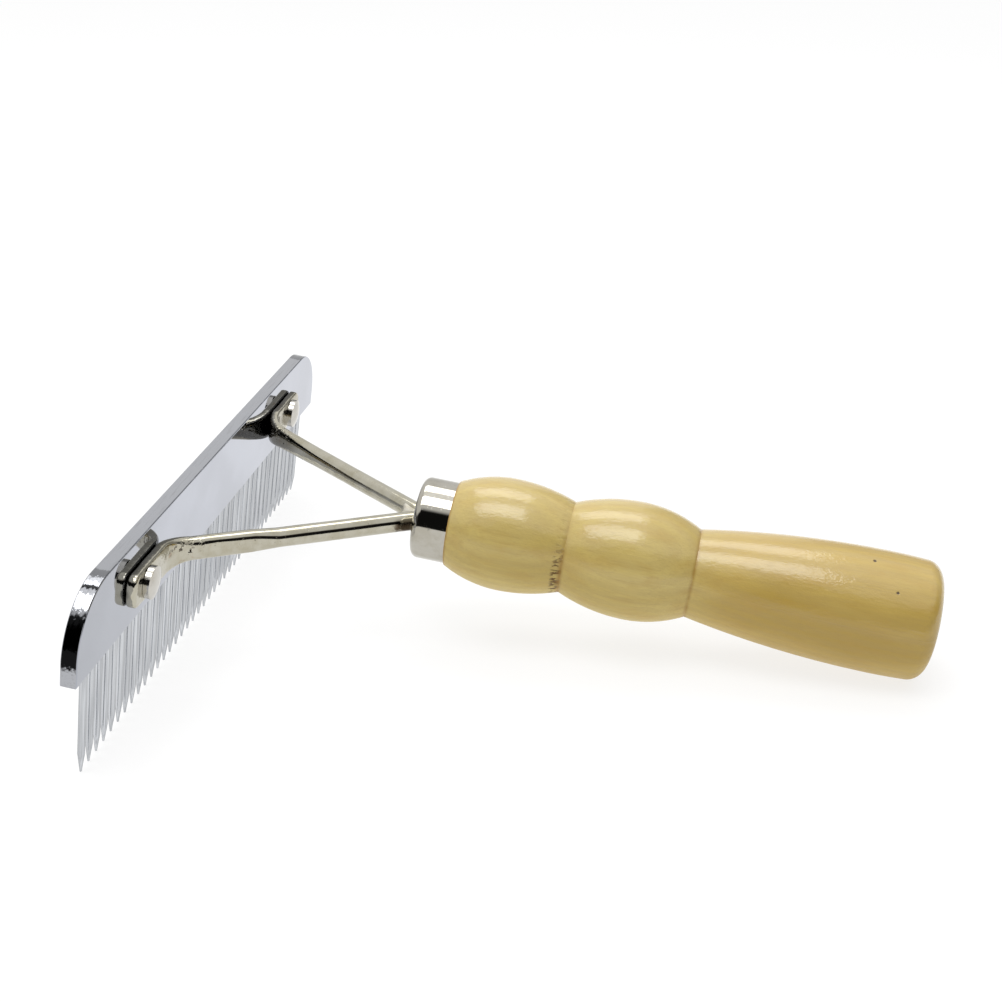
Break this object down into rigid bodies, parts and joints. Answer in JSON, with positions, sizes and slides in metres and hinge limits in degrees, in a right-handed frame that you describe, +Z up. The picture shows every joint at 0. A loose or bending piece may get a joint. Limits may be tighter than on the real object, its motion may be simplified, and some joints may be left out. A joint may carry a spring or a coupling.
{
  "type": "pet deshedding rake comb",
  "caption": "One-row grooming rake comb: a rounded chrome bar of steel pins on a riveted two-rod fork, with a ferrule and a turned wooden handle.",
  "frame": {"origin": "on the table under the middle of the tool's box, as it rests on its pin points and the rim of its butt", "axes": "+X from the comb bar towards the handle's butt, +Y along the bar to the right arm's end, +Z up from the table; the XZ plane is the plane of symmetry"},
  "size_m": [0.179, 0.163, 0.044],
  "materials": {
    "varnished_wood": "turned pale hardwood under glossy clear varnish",
    "ferrule_nickel": "bright nickel plate",
    "bar_chrome": "mirror chrome plate",
    "rod_nickel": "warm nickel plate with small pits",
    "weld_nickel": "duller nickel plate over a weld bead",
    "rivet_nickel": "bright nickel plate",
    "pin_steel": "polished steel wire"
  },
  "bodies": {
    "root": {"handle": "varnished_wood", "ferrule": "ferrule_nickel", "comb_bar": "bar_chrome", "left_arm": "rod_nickel", "right_arm": "rod_nickel", "fork_weld": "weld_nickel", "rivet_left": "rivet_nickel", "rivet_right": "rivet_nickel", "tooth_01": "pin_steel", "tooth_02": "pin_steel", "tooth_03": "pin_steel", "tooth_04": "pin_steel", "tooth_05": "pin_steel", "tooth_06": "pin_steel", "tooth_07": "pin_steel", "tooth_08": "pin_steel", "tooth_09": "pin_steel", "tooth_10": "pin_steel", "tooth_11": "pin_steel", "tooth_12": "pin_steel", "tooth_13": "pin_steel", "tooth_14": "pin_steel", "tooth_15": "pin_steel", "tooth_16": "pin_steel", "tooth_17": "pin_steel", "tooth_18": "pin_steel", "tooth_19": "pin_steel", "tooth_20": "pin_steel", "tooth_21": "pin_steel", "tooth_22": "pin_steel", "tooth_23": "pin_steel", "tooth_24": "pin_steel", "tooth_25": "pin_steel", "tooth_26": "pin_steel", "tooth_27": "pin_steel", "tooth_28": "pin_steel", "tooth_29": "pin_steel", "tooth_30": "pin_steel", "tooth_31": "pin_steel", "tooth_32": "pin_steel", "tooth_33": "pin_steel", "tooth_34": "pin_steel", "tooth_35": "pin_steel", "tooth_36": "pin_steel", "tooth_37": "pin_steel", "tooth_38": "pin_steel", "tooth_39": "pin_steel"}
  },
  "joints": []
}
